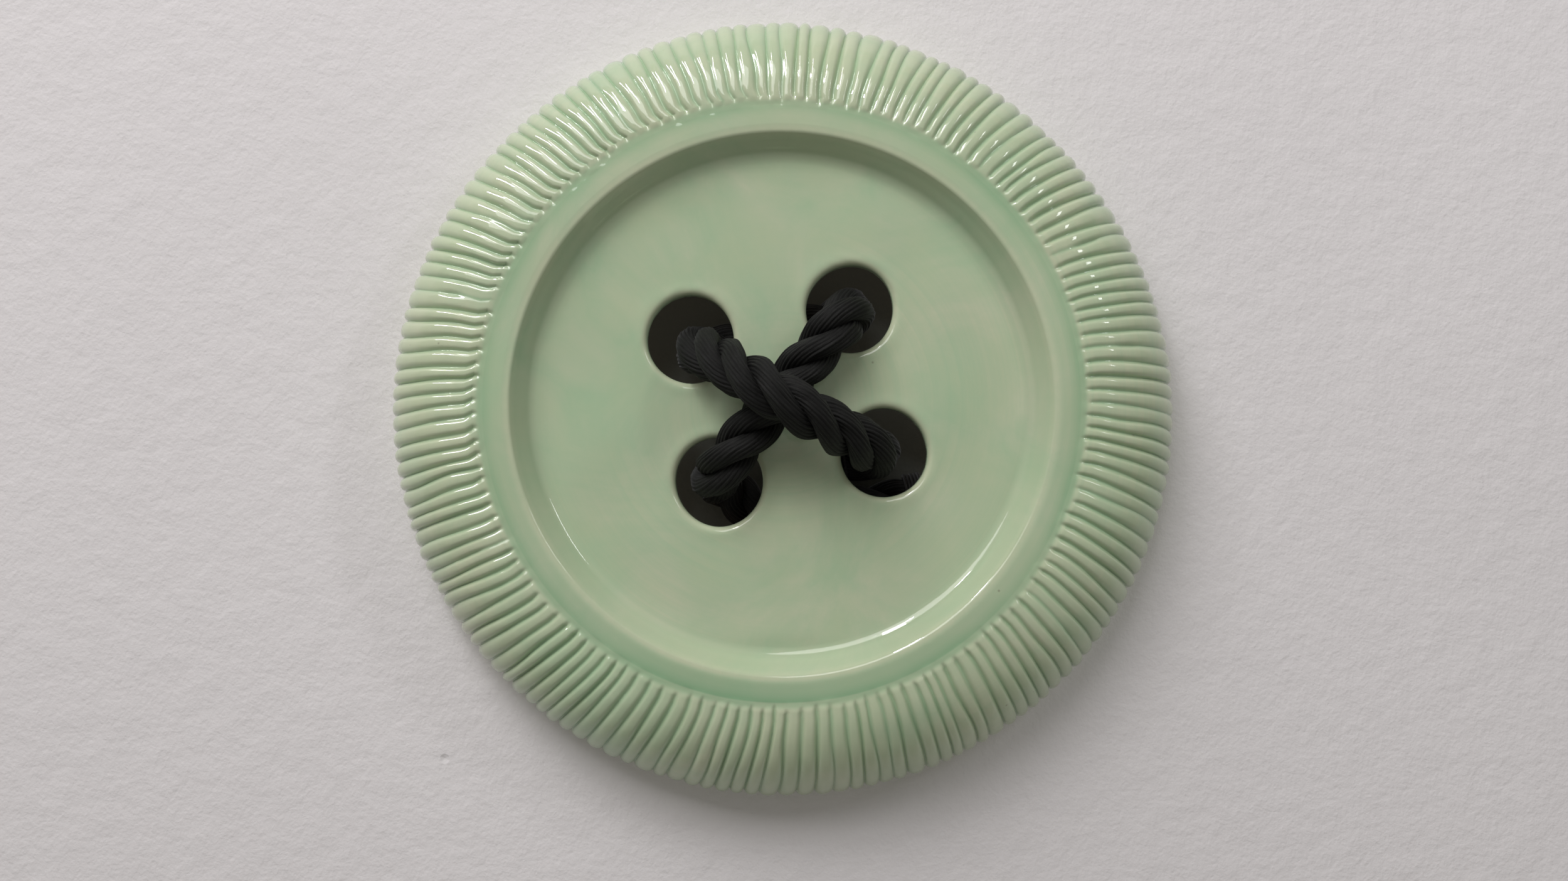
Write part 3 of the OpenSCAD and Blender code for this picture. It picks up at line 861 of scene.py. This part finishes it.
def binding(name, place, turns, half_gap, node, material):
    """Twine wound side by side round one rope, or round two that lie half_gap from its middle."""
    along = np.array([-math.cos(LAP_LEAN), -math.sin(LAP_LEAN), 0])
    over = np.array([math.sin(LAP_LEAN), -math.cos(LAP_LEAN), 0])
    outward = np.array([0, 0, 1.0])
    rng = np.random.default_rng(len(name))
    radius = BIND_R + TWINE_D / 2
    bend, flat = math.pi * radius, 2 * half_gap
    around = 2 * (bend + flat)
    whole = turns * around
    points = []
    steps = int(whole / 3)
    for i in range(steps + 1):
        far = i * whole / steps
        where = far % around
        tucked = smooth(6, 0, far) + smooth(whole - 6, whole, far)
        lift = radius + 0.1 * math.sin(far / 7) - 1.1 * tucked
        turn = where / radius
        if where < bend:
            b, c = half_gap + lift * math.sin(turn), lift * math.cos(turn)
        elif where < bend + flat:
            b, c = half_gap - (where - bend), -lift
        elif where < 2 * bend + flat:
            turn = (where - bend - flat) / radius
            b, c = -half_gap - lift * math.sin(turn), -lift * math.cos(turn)
        else:
            b, c = -half_gap + (where - 2 * bend - flat), lift
        a = (far / around - turns / 2) * TWINE_D + rng.uniform(-0.05, 0.05)
        points.append(np.array(place) + a * along + b * over + c * outward)
    shell = Shell("round_x", "round_y", "run", "yarn")
    wound_tube(shell, points, TWINE_D / 2 + 0.04, 3, 4.5, 9, 0.9, along)
    piece = shell.build(name, material, BUTTON)
    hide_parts(node)


# --- Hanger: picture wire, its sleeves and the loops in the clay ---
LOOP_X, LOOP_UP, LOOP_OUT = 60.0, 75.0, 12.0
WIRE_RISE = math.radians(17)
WIRE_R, WIRE_GAP = 1.0, 2.1
EYE_R, EYE_SHIFT, EYE_TO = 4.5, 1.2, 11.0
SLEEVE_FROM, SLEEVE_L, SLEEVE_R = EYE_TO + 0.5, 8.0, 1.8
WIRE_TAIL, APEX_R = 3.0, 8.0
# The sleeve from end to end: (place along it, how much thinner it is there)
SLEEVE_PRESS = [
    (0, 0.5), (0, 0.12), (0.15, 0), (1.2, 0), (1.6, 0.22), (2.0, 0.42), (2.8, 0.42), (3.2, 0.22), (3.6, 0),
    (4.4, 0), (4.8, 0.22), (5.2, 0.42), (6.0, 0.42), (6.4, 0.22), (6.8, 0), (7.85, 0), (8, 0.12), (8, 0.5),
]


def on_leg(side, along, out):
    """A place on one half of the wire: along its leg from the loop's bar, and out from the bar."""
    across = LOOP_X - along * math.cos(WIRE_RISE)
    return (side * across, LOOP_UP + along * math.sin(WIRE_RISE), LOOP_OUT + out)


def half_wire(side):
    """The tail, the eye and the leg of one half."""
    reach = (EYE_TO - EYE_SHIFT, WIRE_GAP / 2)
    open_half = math.degrees(math.acos(EYE_R / math.hypot(*reach)) + math.atan2(reach[1], reach[0]))
    places = [(EYE_TO + SLEEVE_L + WIRE_TAIL - 3.2 * k, -WIRE_GAP) for k in range(4)]
    for k in range(15):
        turn = math.radians(360 - open_half + (2 * open_half - 360) * k / 14)
        places.append((EYE_SHIFT + EYE_R * math.cos(turn), -WIRE_GAP / 2 + EYE_R * math.sin(turn)))
    leg = LOOP_X / math.cos(WIRE_RISE) - APEX_R * math.tan(WIRE_RISE)
    places += [(EYE_TO + (leg - EYE_TO) * k / 5, 0) for k in range(6)]
    return [on_leg(side, *p) for p in places]


def build_wire(material):
    """Both halves, joined by the bend that hangs on the hook."""
    apex_up = LOOP_UP + LOOP_X * math.tan(WIRE_RISE) - APEX_R / math.cos(WIRE_RISE)
    top = []
    for turn in (103, 94, 86, 77):
        c, s = math.cos(math.radians(turn)), math.sin(math.radians(turn))
        top.append((APEX_R * c, apex_up + APEX_R * s, LOOP_OUT))
    points = half_wire(-1) + top + half_wire(1)[::-1]
    shell = Shell("round_x", "round_y", "run", "yarn")
    wound_tube(shell, points, WIRE_R + 0.02, 6, 11, 30, 0.8, (0, 1, 0))
    piece = shell.build("picture_wire_strands", material, HANGER)
    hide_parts("picture_wire")


def build_sleeve(side, node, material):
    """A soft metal sleeve, pressed flat in two places round the wire and its tail."""
    shell = Shell()
    base = np.linspace(0, 2 * math.pi, 48, endpoint=False)
    broad = np.array([math.sin(WIRE_RISE), side * math.cos(WIRE_RISE), 0])
    push = np.clip(np.cos(base) * 1.6, -1, 1) * WIRE_GAP / 2
    rings = []
    for at, thinner in SLEEVE_PRESS:
        thick = SLEEVE_R - thinner
        outwards = (push + thick * np.cos(base))[:, None] * np.array([0, 0, 1.0])
        sideways = (thick * np.sin(base))[:, None] * broad
        middle = np.array(on_leg(side, SLEEVE_FROM + at, -WIRE_GAP / 2))
        rings.append(shell.add(middle + (outwards + sideways)))
    for a, b in zip(rings, rings[1:]):
        shell.bridge(a, b)
    shell.cap(rings[0], on_leg(side, SLEEVE_FROM, -WIRE_GAP / 2))
    shell.cap(rings[-1], on_leg(side, SLEEVE_FROM + SLEEVE_L, -WIRE_GAP / 2))
    piece = shell.build(f"{node}_crimped", material, HANGER)
    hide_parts(node)


def metal_material(name, dark, light, roughness, grain, metallic=1.0):
    """Bare metal with worn, uneven colour and fine marks."""
    n = Nodes(name)
    place = n.place()
    worn = n.ranged(n.noise(place, 260, 4, 0.6), 0.35, 0.68)
    n.set(Base_Color=n.mix(worn, dark, light), Metallic=metallic)
    n.set(Roughness=n.ranged(n.noise(place, 900, 3), 0.3, 0.7, roughness - 0.08, roughness + 0.12))
    n.set(Normal=n.bump(n.noise(place, grain, 3, 0.6), 0.00012, 0.6))
    return n.material


def dress(node, material):
    """Gives a CAD node that is shown as it is its finish."""
    piece = frame["nodes"][node]
    piece.data.materials.clear()
    piece.data.materials.append(material)


add_camera()
add_lights()
add_wall()
GLAZE = glaze_material()
ROPE = fibre_material("black_rope", (0.001, 0.001, 0.001), (0.0115, 0.0125, 0.011), 0.62, 0.3)
TWINE = fibre_material("black_twine", (0.004, 0.004, 0.004), (0.035, 0.034, 0.033), 0.5, 0.6)
WIRE = metal_material("picture_wire_metal", (0.36, 0.34, 0.31), (0.62, 0.61, 0.58), 0.32, 1400)
SLEEVE = metal_material("sleeve_metal", (0.55, 0.55, 0.55), (0.75, 0.75, 0.74), 0.36, 900)
KILN_WIRE = metal_material("kiln_wire", (0.05, 0.042, 0.036), (0.17, 0.15, 0.13), 0.55, 700, 0.85)
add_glints(build_disc(GLAZE))
for strand in range(3):
    build_strand(strand, ROPE)
binding("whipping_1_twine", (54.5, -38.2, 12.5), 5, 0, "rope_end_whipping_1", TWINE)
binding("whipping_2_twine", (6.5, -24.1, 12.5), 5, 0, "rope_end_whipping_2", TWINE)
binding("seizing_twine", (20, -32.9, 12.5), 11, LAP_GAP / 2, "rope_seizing", TWINE)
build_wire(WIRE)
build_sleeve(-1, "crimp_sleeve_left", SLEEVE)
build_sleeve(1, "crimp_sleeve_right", SLEEVE)
dress("hanger_loop_left", KILN_WIRE)
dress("hanger_loop_right", KILN_WIRE)
